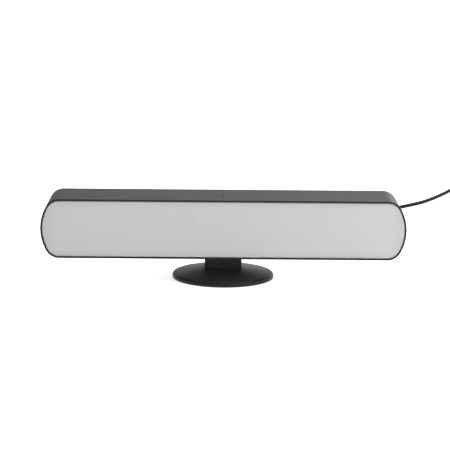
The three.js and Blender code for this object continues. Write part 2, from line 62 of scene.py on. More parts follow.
AXIS_HEIGHT = 31 * MM  # the tilt joint's axis over the table
CORD_DIAMETER = 3.5 * MM

# The lead's route from the boot to the coil, and from the coil to the plug, as the CAD source lays it.
LEAD_ROUTE = [
    (0.138, 0.042, 0.036),
    (0.138, 0.049, 0.0358),
    (0.138, 0.0575, 0.0346),
    (0.138, 0.065, 0.0306),
    (0.1382, 0.0715, 0.0243),
    (0.1385, 0.077, 0.017),
    (0.139, 0.083, 0.0102),
    (0.1398, 0.091, 0.005),
    (0.141, 0.101, 0.0024),
    (0.1418, 0.113, 0.0018),
    (0.1415, 0.138, 0.0018),
    (0.14, 0.165, 0.0018),
    (0.1388, 0.192, 0.0018),
    (0.1395, 0.221, 0.0018),
    (0.1436, 0.25, 0.0018),
    (0.1518, 0.277, 0.0018),
    (0.163, 0.2995, 0.0018),
    (0.175, 0.3165, 0.0018),
    (0.1865, 0.3296, 0.0018),
    (0.1973, 0.3414, 0.0018),
    (0.2082, 0.3553, 0.0018),
    (0.218, 0.3714, 0.0018),
    (0.228, 0.3902, 0.0018),
    (0.2375, 0.4093, 0.0018),
    (0.2453, 0.4266, 0.0018),
    (0.2525, 0.4406, 0.0019),
    (0.2575, 0.4482, 0.0022),
]
TAIL_ROUTE = [
    (0.3039, 0.421, 0.0078),
    (0.304, 0.4155, 0.006),
    (0.304, 0.409, 0.0046),
    (0.304, 0.4028, 0.0041),
]


# ---- Camera: the photo's viewing angle, from a long lens ----
def make_camera():
    azimuth = math.radians(-0.465)
    elevation = math.radians(10.9)
    roll = math.radians(0.535)
    target = Vector((1.37 * MM, 0, 44.33 * MM))
    away = 1.5
    flat = math.cos(elevation)
    back = Vector((math.sin(azimuth) * flat, -math.cos(azimuth) * flat, math.sin(elevation)))
    data = bpy.data.cameras.new("camera")
    data.sensor_width = 36
    data.lens = 144.08
    data.clip_start = 0.05
    data.clip_end = 60
    camera = bpy.data.objects.new("camera", data)
    camera.location = target + back * away
    camera.rotation_mode = "QUATERNION"
    camera.rotation_quaternion = (-back).to_track_quat("-Z", "Y") @ Quaternion((0, 0, 1), roll)
    bpy.context.scene.collection.objects.link(camera)
    bpy.context.scene.camera = camera


# ---- Mesh helpers ----
def new_object(name, vertices, faces, smooth_angle=35):
    """A mesh object whose points that fall together are joined, as they do where a profile meets its axis."""
    mesh = bpy.data.meshes.new(name)
    mesh.from_pydata([tuple(v) for v in vertices], [], faces)
    mesh.update()
    work = bmesh.new()
    work.from_mesh(mesh)
    bmesh.ops.remove_doubles(work, verts=work.verts, dist=1e-7)
    bmesh.ops.recalc_face_normals(work, faces=work.faces)
    work.to_mesh(mesh)
    work.free()
    made = bpy.data.objects.new(name, mesh)
    bpy.context.scene.collection.objects.link(made)
    shade(made, smooth_angle)
    return made


def shade(made, angle):
    """Smooth shading, with the edges sharper than angle degrees kept sharp."""
    made.data.shade_smooth()
    made.data.set_sharp_from_angle(angle=math.radians(angle))


def skin(name, rings, smooth_angle=35, caps=True, closed=False):
    """A surface through rings of points, each ring a closed loop with the same number of points.
    closed joins the last ring to the first; otherwise caps closes both ends."""
    count = len(rings[0])
    vertices = [p for ring in rings for p in ring]
    faces = []
    pairs = [(k, k + 1) for k in range(len(rings) - 1)]
    if closed:
        pairs.append((len(rings) - 1, 0))
    for k, after in pairs:
        for i in range(count):
            j = (i + 1) % count
            faces.append((k * count + i, k * count + j, after * count + j, after * count + i))
    if caps and not closed:
        faces.append(tuple(range(count)))
        faces.append(tuple((len(rings) - 1) * count + i for i in range(count)))
    return new_object(name, vertices, faces, smooth_angle)


def turned(name, profile, segments=96, smooth_angle=35, axis="Z", at=(0, 0, 0)):
    """A body of revolution: profile lists (radius, height) along the axis."""
    at = Vector(at)
    nearly_none = 1e-9  # a point on the axis is still a ring here, and is joined to one point in new_object
    rings = []
    for radius, height in profile:
        radius = max(radius, nearly_none)
        ring = []
        for i in range(segments):
            a = 2 * math.pi * i / segments
            x, y = radius * math.cos(a), radius * math.sin(a)
            ring.append(at + Vector({"X": (height, x, y), "Y": (y, height, x), "Z": (x, y, height)}[axis]))
        rings.append(ring)
    return skin(name, rings, smooth_angle, caps=False)


def arc(x, y, radius, start, end, steps):
    """Points on an arc, angles in degrees."""
    angles = (math.radians(start + (end - start) * i / steps) for i in range(steps + 1))
    return [(x + radius * math.cos(a), y + radius * math.sin(a)) for a in angles]


def apply_modifiers(made):
    graph = bpy.context.evaluated_depsgraph_get()
    mesh = bpy.data.meshes.new_from_object(made.evaluated_get(graph))
    made.modifiers.clear()
    old = made.data
    made.data = mesh
    bpy.data.meshes.remove(old)


def boolean(made, other, operation="DIFFERENCE", smooth_angle=35):
    """Cuts or joins made with other, which is used up."""
    modifier = made.modifiers.new("cut", "BOOLEAN")
    modifier.operation = operation
    modifier.solver = "EXACT"
    modifier.object = other
    apply_modifiers(made)
    bpy.data.objects.remove(other)
    shade(made, smooth_angle)


def bevel(made, width, segments):
    modifier = made.modifiers.new("edges", "BEVEL")
    modifier.width = width
    modifier.segments = segments
    return modifier


def box_object(name, low, high):
    corners = [(x, y, z) for x in (low[0], high[0]) for y in (low[1], high[1]) for z in (low[2], high[2])]
    faces = [(0, 1, 3, 2), (4, 6, 7, 5), (0, 4, 5, 1), (2, 3, 7, 6), (0, 2, 6, 4), (1, 5, 7, 3)]
    return new_object(name, corners, faces)


def rod(name, radius, start, end, segments, axis, at):
    """A plain cylinder from start to end along the axis."""
    return turned(name, [(0, start), (radius, start), (radius, end), (0, end)], segments, axis=axis, at=at)


def rounded_rectangle(half_x, half_y, corner, steps=8):
    """The rectangle's outline, counterclockwise from the right side, with steps to each corner."""
    x, y = half_x - corner, half_y - corner
    return (
        arc(x, y, corner, 0, 90, steps)
        + arc(-x, y, corner, 90, 180, steps)
        + arc(-x, -y, corner, 180, 270, steps)
        + arc(x, -y, corner, 270, 360, steps)
    )


# ---- The lead ----
def through(points, step=1.2 * MM):
    """Points along a centripetal spline through the given ones, about one step apart. The spline swings a
    little past the points, so it is held at the height of the lowest one and never dips into the table."""
    p = np.array(points, float)
    p = np.vstack([2 * p[0] - p[1], p, 2 * p[-1] - p[-2]])
    line = []
    for a, b, c, d in zip(p[:-3], p[1:-2], p[2:-1], p[3:]):
        ta, tb, tc = (math.sqrt(np.linalg.norm(v)) for v in (b - a, c - b, d - c))
        m0 = ((b - a) / ta - (c - a) / (ta + tb) + (c - b) / tb) * tb
        m1 = ((c - b) / tb - (d - b) / (tb + tc) + (d - c) / tc) * tb
        count = max(2, round(float(np.linalg.norm(c - b)) / step))
        for t in np.arange(count) / count:
            line.append(
                (2 * t**3 - 3 * t**2 + 1) * b
                + (t**3 - 2 * t**2 + t) * m0
                + (3 * t**2 - 2 * t**3) * c
                + (t**3 - t**2) * m1
            )
    line = np.array([*line, p[-2]])
    line[:, 2] = np.maximum(line[:, 2], p[1:-1, 2].min())
    return line


def smoothstep(t):
    t = min(1.0, max(0.0, t))
    return t * t * (3 - 2 * t)


def coil_points():
    """The coil's turns: three layers of three, wound in, out and out again, and left at the outermost one."""
    low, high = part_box("cord_coil")
    middle = (low + high) / 2
    radii = [2, 1, 0, 0, 1, 2, 0, 1, 2]
    layers = [0, 0, 0, 1, 1, 1, 2, 2, 2]
    outer = (high.x - low.x) / 2 - CORD_DIAMETER / 2
    inner = outer - 2 * CORD_DIAMETER
    start, turns, each = 120, 8 + 1 / 3, 24  # the start in degrees, and the number of points to a turn
    crossover = 0.2  # the share of a turn in which the lead passes to the next place
    lifted, shifts = 0.6, 0.35  # where in it a lead that climbs is up, and where it starts to move sideways
    points = []
    for i in range(round(turns * each) + 1):
        turn = min(int(i / each), len(radii) - 1)
        share = (i / each - turn - (1 - crossover)) / crossover
        after = min(turn + 1, len(radii) - 1)
        climbs = layers[after] > layers[turn]
        lift = smoothstep(share / lifted) if climbs else smoothstep(share)
        shift = smoothstep((share - shifts) / (1 - shifts)) if climbs else smoothstep(share)
        place = radii[turn] + (radii[after] - radii[turn]) * shift
        layer = layers[turn] + (layers[after] - layers[turn]) * lift
        angle = math.radians(start - 360 * i / each)
        radius = inner + place * CORD_DIAMETER
        x, y = middle.x + radius * math.cos(angle), middle.y + radius * math.sin(angle)
        points.append((x, y, low.z + CORD_DIAMETER * (layer + 0.5)))
    return points


def sweep(name, line, radius, sides=14):
    """A closed tube along a line, its rings turned as little as possible from one to the next."""
    along = np.gradient(line, axis=0)
    along /= np.linalg.norm(along, axis=1)[:, None]
    side = np.cross(along[0], (0, 0, 1.0))
    rings = []
    for place, direction in zip(line, along):
        side = side - direction * float(side @ direction)
        side /= np.linalg.norm(side)
        up = np.cross(side, direction)
        angles = (2 * math.pi * k / sides for k in range(sides))
        rings.append([place + radius * (math.cos(a) * side + math.sin(a) * up) for a in angles])
    return skin(name, rings, smooth_angle=60)


def make_lead():
    line = through([*LEAD_ROUTE, *coil_points(), *TAIL_ROUTE])
    lead = sweep("lead", line, CORD_DIAMETER / 2)
    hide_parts("cord_lead", "cord_coil", "cord_tail")
    dress(lead, "cord_pvc")
    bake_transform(lead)


# ---- Materials ----
BROAD_GRAIN = 30 * MM  # size of the slow change of tone over a surface
FINE_SHARE = 0.35  # share of the tone's change that is fine grain
NOISE_SPAN = (0.3, 0.7)  # where nearly all of a noise texture's values lie


def material(name, color, spread, roughness, rough_spread, scale, bump, metallic=0.0, **sockets):
    """A shader whose colour, roughness and bump all come from noise in the object's own coordinates.
    color is a linear grey or RGB and spread its share of change; scale is the fine grain's size and bump its
    depth. Any other socket is given by its name, with _ for a space."""
    made = bpy.data.materials.new(name)
    made.use_nodes = True
    nodes, links = made.node_tree.nodes, made.node_tree.links
    shader = nodes["Principled BSDF"]
    shader.inputs["Metallic"].default_value = metallic
    for key, value in sockets.items():
        shader.inputs[key.replace("_", " ")].default_value = value
    where = nodes.new("ShaderNodeTexCoord")
    broad = noise(nodes, links, where, 1 / BROAD_GRAIN, detail=3)
    fine = noise(nodes, links, where, 1 / scale, detail=4)
    tone = nodes.new("ShaderNodeMix")
    tone.data_type = "RGBA"
    rgb = [color] * 3 if isinstance(color, float) else list(color)
    tone.inputs["A"].default_value = (*[c * (1 - spread) for c in rgb], 1)
    tone.inputs["B"].default_value = (*[c * (1 + spread) for c in rgb], 1)
    blend = nodes.new("ShaderNodeMath")
    blend.operation = "MULTIPLY_ADD"
    blend.inputs[1].default_value = FINE_SHARE
    links.new(fine.outputs["Fac"], blend.inputs[0])
    share = nodes.new("ShaderNodeMath")
    share.operation = "MULTIPLY"
    share.inputs[1].default_value = 1 - FINE_SHARE
    links.new(broad.outputs["Fac"], share.inputs[0])
    links.new(share.outputs[0], blend.inputs[2])
    links.new(blend.outputs[0], tone.inputs["Factor"])
    links.new(tone.outputs["Result"], shader.inputs["Base Color"])
    rough = nodes.new("ShaderNodeMapRange")
    rough.inputs["From Min"].default_value = NOISE_SPAN[0]
    rough.inputs["From Max"].default_value = NOISE_SPAN[1]
    rough.inputs["To Min"].default_value = roughness - rough_spread
    rough.inputs["To Max"].default_value = roughness + rough_spread
    links.new(blend.outputs[0], rough.inputs["Value"])
    links.new(rough.outputs["Result"], shader.inputs["Roughness"])
    relief = nodes.new("ShaderNodeBump")
    relief.inputs["Strength"].default_value = 1.0
    relief.inputs["Distance"].default_value = bump
    links.new(fine.outputs["Fac"], relief.inputs["Height"])
    links.new(relief.outputs["Normal"], shader.inputs["Normal"])
    return made


def paint_opal_edge_shade_and_mark(made):
    """Darkens the opal a little towards its border, which is painted shade, and at the faint round mark left of
    its middle.
    """
    low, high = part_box("diffuser")
    middle, half = (low + high) / 2, (high - low) / 2
    # painted shade: the bands along the ends and the long sides in which the opal is painted darker, and how
    # dark it is at the edge
    end_band, end_painted_shade = 16 * MM, 0.93
    side_band, side_painted_shade = 7 * MM, 0.91
    mark = (middle.x - 23.8 * MM, middle.z + 8.6 * MM)
    mark_inner, mark_outer, mark_tone = 1.2 * MM, 2.8 * MM, 0.94
    nodes, links = made.node_tree.nodes, made.node_tree.links

    def math_node(operation, first, second):
        node = nodes.new("ShaderNodeMath")
        node.operation = operation
        for socket, value in zip(node.inputs, (first, second)):
            if isinstance(value, (int, float)):
                socket.default_value = value
            else:
                links.new(value, socket)
        return node.outputs[0]

    def level(value, start, end, at_start, at_end):
        node = nodes.new("ShaderNodeMapRange")
        node.interpolation_type = "SMOOTHSTEP"
        numbers = {"From Min": start, "From Max": end, "To Min": at_start, "To Max": at_end}
        for name, number in numbers.items():
            node.inputs[name].default_value = number
        links.new(value, node.inputs["Value"])
        return node.outputs["Result"]

    split = nodes.new("ShaderNodeSeparateXYZ")
    links.new(nodes.new("ShaderNodeTexCoord").outputs["Object"], split.inputs[0])
    across, up = split.outputs["X"], split.outputs["Z"]
    # painted shade towards the ends and towards the long sides
    off_x = math_node("ABSOLUTE", math_node("SUBTRACT", across, middle.x), 0)
    ends = level(off_x, half.x - end_band, half.x, 1, end_painted_shade)
    off_z = math_node("ABSOLUTE", math_node("SUBTRACT", up, middle.z), 0)
    sides = level(off_z, half.z - side_band, half.z, 1, side_painted_shade)
    aside = math_node("POWER", math_node("SUBTRACT", across, mark[0]), 2)
    above = math_node("POWER", math_node("SUBTRACT", up, mark[1]), 2)
    reach = math_node("SQRT", math_node("ADD", aside, above), 0)
    spot = level(reach, mark_inner, mark_outer, mark_tone, 1)
    # the painted shade at the border times the mark's own tone
    share = math_node("MULTIPLY", math_node("MULTIPLY", ends, sides), spot)
    color = nodes["Principled BSDF"].inputs["Base Color"]
    tone = nodes.new("ShaderNodeVectorMath")
    tone.operation = "SCALE"
    links.new(color.links[0].from_socket, tone.inputs[0])
    links.new(share, tone.inputs["Scale"])
    links.new(tone.outputs[0], color)
    return made


def noise(nodes, links, where, scale, detail):
    made = nodes.new("ShaderNodeTexNoise")
    made.inputs["Scale"].default_value = scale
    made.inputs["Detail"].default_value = detail
    made.inputs["Roughness"].default_value = 0.55
    links.new(where.outputs["Object"], made.inputs["Vector"])
    return made


def make_materials():
    """The materials by name: one for each slot of the record, and black_base for the base's cover, whose slot
    is black_shell but whose colour is a little darker as painted shade and whose surface is smoother. Bare
    numbers follow material's order."""
    black = {
        "color": 0.013,
        "spread": 0.15,
        "roughness": 0.52,
        "rough_spread": 0.04,
        "scale": 0.35 * MM,
        "bump": 0.003 * MM,
        "Specular_IOR_Level": 0.25,
    }
    # black_base: its darker colour is painted shade; its lower roughness, lower specular level and sheen belong
    # to the shader
    base = {**black, "color": 0.01, "roughness": 0.45, "Specular_IOR_Level": 0.18, "Sheen_Weight": 0.06}
    return {
        "black_shell": material("black_shell", **black),
        "black_base": material("black_base", **base),
        "black_inner": material("black_inner", 0.02, 0.12, 0.55, 0.05, 0.8 * MM, 0.003 * MM),
        "opal": paint_opal_edge_shade_and_mark(
            material(
                "opal",
                color=0.512,
                spread=0.01,
                roughness=0.42,
                rough_spread=0.04,
                scale=0.5 * MM,
                bump=0.0015 * MM,
                Subsurface_Weight=0.6,
                Subsurface_Scale=0.008,
                Subsurface_Radius=(1, 1, 1),
            )
        ),
        "white_inner": material("white_inner", 0.78, 0.03, 0.5, 0.06, 1 * MM, 0.003 * MM),
        "led_lens": material("led_lens", (0.8, 0.66, 0.2), 0.08, 0.25, 0.05, 0.6 * MM, 0.002 * MM),
        "circuit_board": material(
            "circuit_board", (0.012, 0.09, 0.035), 0.25, 0.35, 0.08, 0.9 * MM, 0.004 * MM
        ),
        "steel": material("steel", (0.5, 0.51, 0.53), 0.08, 0.34, 0.08, 0.5 * MM, 0.002 * MM, metallic=1.0),
        "plug_metal": material(
            "plug_metal", (0.5, 0.495, 0.48), 0.05, 0.26, 0.05, 0.4 * MM, 0.001 * MM, metallic=1.0
        ),
        "cast_metal": material("cast_metal", 0.12, 0.2, 0.65, 0.1, 0.7 * MM, 0.02 * MM, metallic=1.0),
        "rubber": material("rubber", 0.014, 0.15, 0.78, 0.06, 0.4 * MM, 0.006 * MM),
        "cord_pvc": material(
            "cord_pvc", 0.011, 0.15, 0.6, 0.05, 0.6 * MM, 0.004 * MM, Specular_IOR_Level=0.05
        ),
        "washer": material("washer", (0.62, 0.59, 0.5), 0.04, 0.5, 0.05, 0.5 * MM, 0.002 * MM),
    }


MATERIALS = make_materials()


def dress(made, name):
    """Gives an object one material and no other."""
    made.data.materials.clear()
    made.data.materials.append(MATERIALS[name])


def dress_frame():
    """Every CAD node that stays visible takes the material of its slot in the record."""
    for row in frame["record"]["subparts"]:
        dress(frame["nodes"][row["node"]], row["material_slot"])


def finish_piece(made, body, slot, *nodes, look=None):
    """Puts a piece on its body, in its slot and in place of its CAD nodes. look names a material other than
    the slot's own."""
    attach(made, body)
    dress(made, look or slot)
    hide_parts(*nodes)
    return made


# ---- The bar ----
BAR_LOW, BAR_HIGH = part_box("bar_housing")
BAR_MIDDLE = (BAR_LOW + BAR_HIGH) / 2
LIP = 1.25 * MM  # width of the housing's rim round the diffuser
WALL = 2.1 * MM
END_RADIUS = 37.3 * MM
CORNER_RADIUS = 12 * MM
END_STEPS = 28
CORNER_STEPS = 14
BACK_WALL = 2 * MM
GROOVE = 0.45 * MM  # depth of the witness line that the mould leaves across the middle of the top
GROOVE_ACROSS = (0.9 * MM, -0.5 * MM, -0.7 * MM)  # where it starts, is deepest and ends, along the bar
BOOT_HOLE = 3.5 * MM  # radius of the hole in the back wall


def bar_outline(inset, groove=0.0):
    """The bar's outline as (x, z) points round its middle, drawn in by inset, with the witness line's groove
    at the middle of the top. Each end is one wide arc that runs smoothly into a corner above and below."""
    half = (BAR_HIGH.x - BAR_LOW.x) / 2
    half_height = (BAR_HIGH.z - BAR_LOW.z) / 2
    end_x = half - END_RADIUS
    corner_z = half_height - CORNER_RADIUS
    corner_x = end_x + math.sqrt((END_RADIUS - CORNER_RADIUS) ** 2 - corner_z**2)
    meet = math.degrees(math.atan2(corner_z, corner_x - end_x))
    corner, end = CORNER_RADIUS - inset, END_RADIUS - inset
    right = [
        *arc(corner_x, -corner_z, corner, -90, -meet, CORNER_STEPS),
        *arc(end_x, 0, end, -meet, meet, END_STEPS)[1:-1],
        *arc(corner_x, corner_z, corner, meet, 90, CORNER_STEPS),
    ]
    left = [(-x, -z) for x, z in right]
    top = half_height - inset
    line = list(zip(GROOVE_ACROSS, (top, top - groove, top)))
    return [*right, *line, *left]


def bar_ring(inset, y, groove=0.0):
    """The bar's outline as points in space, at depth y."""
    return [Vector((x, y, BAR_MIDDLE.z + z)) for x, z in bar_outline(inset, groove)]


def edge_rings(start, end, steps=5):
    """Rings round a quarter turn from (inset, y) start to end, bulging away from the line between them."""
    (i0, y0), (i1, y1) = start, end
    rings = []
    for k in range(steps + 1):
        a = math.pi / 2 * k / steps
        slow, fast = 1 - math.cos(a), math.sin(a)
        along, across = (slow, fast) if abs(i1) > abs(i0) else (fast, slow)
        rings.append(bar_ring(i0 + (i1 - i0) * along, y0 + (y1 - y0) * across))
    return rings


def make_housing():
    front, rear = BAR_LOW.y, BAR_HIGH.y
    edge, rear_edge, lip_edge = 0.5 * MM, 0.9 * MM, 0.1 * MM
    inside, shoulder = rear - BACK_WALL, front + 2.8 * MM
    fade = 0.5 * MM  # in which the groove runs out before each edge
    rings = [
        *edge_rings((rear_edge, rear), (0, rear - rear_edge)),
        bar_ring(0, rear - rear_edge - fade, GROOVE),
        bar_ring(0, front + edge + fade, GROOVE),
        *edge_rings((0, front + edge), (edge, front)),
        *edge_rings((LIP - lip_edge, front), (LIP, front + lip_edge), 3),
        bar_ring(LIP, shoulder),
        bar_ring(WALL, shoulder),
        bar_ring(WALL, inside),
    ]
    housing = skin("housing_shell", rings, smooth_angle=40)
    slot_x, slot_y, slot_depth = 12 * MM, 7.8 * MM, 3.4 * MM
    slot_low = Vector((-slot_x, -slot_y, BAR_LOW.z - 1 * MM))
    slot_high = Vector((slot_x, slot_y, BAR_LOW.z + slot_depth))
    boolean(housing, box_object("slot_cut", slot_low, slot_high), smooth_angle=40)
    low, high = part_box("cord_boot")
    boot_axis = ((low.x + high.x) / 2, 0, (low.z + high.z) / 2)
    hole = rod("boot_hole", BOOT_HOLE, rear - 2 * BACK_WALL, rear + BACK_WALL, 48, "Y", boot_axis)
    boolean(housing, hole, smooth_angle=40)
    housing.modifiers.new("normals", "WEIGHTED_NORMAL").keep_sharp = True
    finish_piece(housing, "light_bar", "black_shell", "bar_housing")


def make_diffuser():
    low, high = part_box("diffuser")
    inset, skirt_inset, skirt = LIP + FIT, WALL + FIT, 1.6 * MM
    plate, edge = 2.2 * MM, 0.6 * MM
    back = low.y + plate
    rings = [
        bar_ring(skirt_inset + skirt, back),
        bar_ring(skirt_inset + skirt, high.y),
        bar_ring(skirt_inset, high.y),
        bar_ring(skirt_inset, back),
        bar_ring(inset, back),
        *edge_rings((inset, low.y + edge), (inset + edge, low.y), 8),
    ]
    made = skin("opal_front", rings, smooth_angle=40)
    made.modifiers.new("normals", "WEIGHTED_NORMAL").keep_sharp = True
    finish_piece(made, "light_bar", "opal", "diffuser")


# ---- The base ----
BASE_RADIUS = 42.2 * MM
DOME_EDGE = 4.2 * MM  # the dome's height at the base's edge, before the corner is rounded
DOME_RISE = 6.3 * MM
DOME_POWER = 1.2  # between a cone (1) and a paraboloid (2)
DOME_STEPS = 24
NECK_CORNER = 1.2 * MM


def dome(radius):
    """Height of the dome's surface at a radius."""
    return DOME_EDGE + DOME_RISE * (1 - (radius / BASE_RADIUS) ** DOME_POWER)


def make_base_cover():
    low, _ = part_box("base_cover")
    radius = BASE_RADIUS
    skirt, wall, foot = 1.6 * MM, 1.9 * MM, 0.4 * MM
    corner = 2 * MM
    slope = math.atan(DOME_POWER * DOME_RISE / radius)
    flat = radius - corner + corner * math.sin(slope)
    rim_z = dome(flat) - corner * math.cos(slope)
    radii = (flat * (k / DOME_STEPS) ** 1.5 for k in range(DOME_STEPS + 1))  # closer together near the middle
    outside = [(r, dome(r)) for r in radii]
    profile = [
        *outside,
        *arc(radius - corner, rim_z, corner, 90 - math.degrees(slope), 0, 9)[1:],
        (radius, low.z + foot),
        (radius - 0.3 * foot, low.z + 0.3 * foot),
        (radius - foot, low.z),
        (radius - skirt, low.z),
        (radius - skirt, 2.4 * MM),
        *[(r * MM, dome(r * MM) - wall) for r in (37.2, 33, 27, 19)],
        (0, 6.2 * MM),
    ]
    cover = turned("base_shell", profile, 160, smooth_angle=40)
    neck_low, neck_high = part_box("neck")
    half = (neck_high - neck_low) / 2
    outline = rounded_rectangle(half.x + FIT, half.y + FIT, NECK_CORNER + FIT)
    above = 20 * MM
    rings = [[Vector((x, y, z)) for x, y in outline] for z in (neck_low.z - FIT, above)]
    boolean(cover, skin("pocket", rings), smooth_angle=40)
    finish_piece(cover, "base", "black_shell", "base_cover", look="black_base")


def make_neck():
    """The block on the base with its crowned top, the tongue on it and the barrel round the hinge pin."""
    low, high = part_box("neck")
    half_depth = (high.y - low.y) / 2
    half_width = (high.x - low.x) / 2
    crown, crown_radius, corner, edge = 19.2 * MM, 45 * MM, NECK_CORNER, 0.3 * MM

    def crown_z(y):
        return crown - crown_radius + math.sqrt(crown_radius**2 - y * y)

    def ring(inset, share, drop=None):
        """The block's outline at a share of its height, or at drop under the crown."""
        rounding = corner - min(inset, corner - 0.3 * MM)
        outline = rounded_rectangle(half_width - inset, half_depth - inset, rounding, 9)
        points = []
        for x, y in outline:
            top = crown_z(y)
            z = low.z + (top - edge - low.z) * share if drop is None else top - drop
            points.append(Vector((x, y, z)))
        return points

    rings = [ring(0.4 * MM, 0), ring(0, 0.04), ring(0, 0.5), ring(0, 1.0)]
    edge_steps, crown_steps = 5, 8
    for k in range(1, edge_steps + 1):
        a = math.pi / 2 * k / edge_steps
        rings.append(ring(edge * (1 - math.cos(a)), 1.0, edge * (1 - math.sin(a))))
    rim = rings[-1]
    for k in range(1, crown_steps):
        scale = 1 - k / crown_steps
        rings.append([Vector((p.x * scale, p.y * scale, crown_z(p.y * scale))) for p in rim])
    neck = skin("neck_block", rings, smooth_angle=40)
    barrel_half, tongue_half = 11 * MM, 4.5 * MM
    barrel_radius, bore_radius, bore_half = 5 * MM, 2.1 * MM, 20 * MM
    tongue_low = (-barrel_half, -tongue_half, 15 * MM)
    tongue = box_object("tongue", tongue_low, (barrel_half, tongue_half, AXIS_HEIGHT))
    boolean(neck, tongue, "UNION", 40)
    axis = (0, 0, AXIS_HEIGHT)
    boolean(neck, rod("barrel", barrel_radius, -barrel_half, barrel_half, 64, "X", axis), "UNION", 40)
    boolean(neck, rod("bore", bore_radius, -bore_half, bore_half, 48, "X", axis), "DIFFERENCE", 40)
    finish_piece(neck, "base", "black_shell", "neck")


def make_foot():
    low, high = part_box("foot_pad")
    radius = (high.x - low.x) / 2
    edge, hollow = 0.25 * MM, 0.15 * MM  # only the outer ring of the pad touches the table
    profile = [
        (0, low.z + hollow),
        (radius - 6 * MM, low.z + hollow),
        (radius - 5.6 * MM, low.z),
        (radius - edge, low.z),
        (radius, low.z + edge),
        (radius, high.z),
        (0, high.z),
    ]
    finish_piece(turned("rubber_foot", profile, 128), "base", "rubber", "foot_pad")


# ---- On the lead ----
def make_boot():
    """The strain relief: a flange on each side of the back wall, a waist in its hole and a ribbed tail."""
    low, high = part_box("cord_boot")
    rear, tip = BAR_HIGH.y, high.y
    inner, outer = rear - BACK_WALL - FIT, rear + FIT  # the flanges' faces towards the wall
    flange, waist, rounding = 4.5 * MM, 3.2 * MM, 0.3 * MM
    profile = [(0, low.y), (flange - 0.2 * MM, low.y), (flange, low.y + 0.2 * MM), (flange, inner)]
    profile += [(waist, inner), (waist, outer), (flange, outer)]
    profile += arc(flange - rounding, outer + 0.9 * MM, rounding, 0, 90, 4)
    start, ribs = outer + 1.6 * MM, 5
    thick, taper, notch = 3.6 * MM, 0.9 * MM, 0.8 * MM
    rib = 0.62 * (tip - start) / ribs
    for k in range(ribs):
        y = start + (tip - start) * k / ribs
        radius = thick - taper * k / ribs
        profile += [(radius, y), (radius - 0.06 * MM, y + rib)]
        profile += [(radius - 0.75 * MM, y + rib + 0.15 * MM), (radius - notch, y + 0.36 * MM + rib)]
    profile += [(2.55 * MM, tip - 0.9 * MM), (2.6 * MM, tip - 0.25 * MM), (2.35 * MM, tip), (0, tip)]
    at = ((low.x + high.x) / 2, 0, (low.z + high.z) / 2)
    made = turned("strain_relief", profile, 40, axis="Y", at=at)
    finish_piece(made, "light_bar", "rubber", "cord_boot")


def make_tie():
    """The strap: a closed band round the coil's bundle of turns."""
    low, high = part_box("cord_tie")
    coil_low, coil_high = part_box("cord_coil")
    centre = (coil_low + coil_high) / 2
    away = (low + high) / 2 - centre
    angle = math.atan2(away.y, away.x)
    bundle_radius = 19.25 * MM  # from the coil's middle to the middle of its bundle
    half_x, half_z, width, thickness = 6.5 * MM, 6.05 * MM, 6 * MM, 0.55 * MM
    radial = Vector((math.cos(angle), math.sin(angle), 0))
    tangent = Vector((-math.sin(angle), math.cos(angle), 0))
    middle = Vector((centre.x, centre.y, 0)) + radial * bundle_radius + Vector((0, 0, (low.z + high.z) / 2))
    outer = rounded_rectangle(half_x, half_z, 1.6 * MM, 5)
    inner = rounded_rectangle(half_x - thickness, half_z - thickness, 1.1 * MM, 5)
    rings = []
    for points, side in ((outer, -1), (outer, 1), (inner, 1), (inner, -1)):
        reach = tangent * (side * width / 2)
        rings.append([middle + radial * x + Vector((0, 0, z)) + reach for x, z in points])
    made = skin("coil_strap", rings, closed=True)
    bevel(made, 0.12 * MM, 2)
    return finish_piece(made, "base", "rubber", "cord_tie")


def make_plug():
    """The plug's overmould with grip ribs, its folded steel shell and the contact tongue."""
    low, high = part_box("usb_plug_body")
    centre = (low + high) / 2
    relief_length, corner, shoulder = 8 * MM, 2 * MM, 1.4 * MM
    half_x, half_z = (high.x - low.x) / 2, (high.z - low.z) / 2

    def ring(y, inset):
        rounding = corner - min(inset, 1.2 * MM) * 0.5
        outline = rounded_rectangle(half_x - inset, half_z - inset, rounding, 6)
        return [Vector((centre.x + x, y, centre.z + z)) for x, z in outline]

    back, front = high.y - relief_length, low.y
    rings = [ring(back, shoulder)]
    for a in (0.3, 0.7, 1.1, 1.57):
        rings.append(ring(back - 1 * MM * math.sin(a), shoulder * (1 - math.sin(a))))
    grooves, pitch, depth = 6, 1.8 * MM, 0.35 * MM
    for k in range(grooves):
        y = back - 6 * MM - pitch * k
        rings += [ring(y, 0), ring(y - 0.25 * MM, depth), ring(y - 0.75 * MM, depth), ring(y - 1 * MM, 0)]
    rings += [ring(front + 0.8 * MM, 0), ring(front + 0.25 * MM, 0.2 * MM), ring(front, 0.8 * MM)]
    body = skin("plug_overmould", rings, smooth_angle=40)
    collar, ribs = 3.3 * MM, 4
    profile = [(0, back - 1 * MM), (collar, back - 1 * MM), (collar, back + 1.2 * MM)]
    for k in range(ribs):
        y = back + 1.6 * MM + 1.5 * MM * k
        radius = 3.1 * MM - 0.18 * MM * k
        profile += [(radius - 0.6 * MM, y - 0.3 * MM), (radius - 0.6 * MM, y), (radius, y + 0.15 * MM)]
        profile += [(radius - 0.05 * MM, y + 0.95 * MM)]
    profile += [(2.4 * MM, high.y), (0, high.y)]
    relief = turned("relief", profile, 32, axis="Y", at=(centre.x, 0, centre.z))
    boolean(body, relief, "UNION", 40)
    finish_piece(body, "base", "cord_pvc", "usb_plug_body")
    return [body, make_plug_shell(), make_plug_tongue()]


